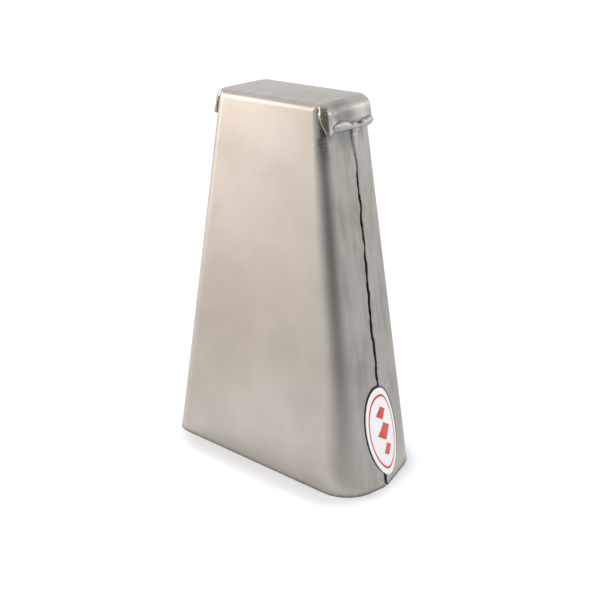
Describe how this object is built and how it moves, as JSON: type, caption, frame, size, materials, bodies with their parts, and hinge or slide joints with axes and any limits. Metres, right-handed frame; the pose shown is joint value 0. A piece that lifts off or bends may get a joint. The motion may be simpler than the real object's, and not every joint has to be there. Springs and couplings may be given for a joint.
{
  "type": "bongo cowbell",
  "caption": "Hand-held cowbell folded from satin sheet steel: tapered flat-sided bell with an open mouth, crown tabs welded over the side seams and an oval label.",
  "frame": {"origin": "middle of the open mouth, on the plane that the mouth's rim stands on", "axes": "+Z from the mouth up to the crown, +X towards the labelled narrow side, -Y out of the wide front face"},
  "size_m": [0.159, 0.0744, 0.2258],
  "materials": {
    "satin_steel": "satin, with a fine vertical grain",
    "weld_steel": "as welded, rippled and lightly brushed",
    "white_vinyl": "semi-gloss film"
  },
  "bodies": {
    "root": {"shell": "satin_steel", "ear_weld_right_front": "weld_steel", "ear_weld_right_rear": "weld_steel", "seam_weld_right": "weld_steel", "ear_weld_left_front": "weld_steel", "ear_weld_left_rear": "weld_steel", "seam_weld_left": "weld_steel", "side_label": "white_vinyl"}
  },
  "joints": []
}
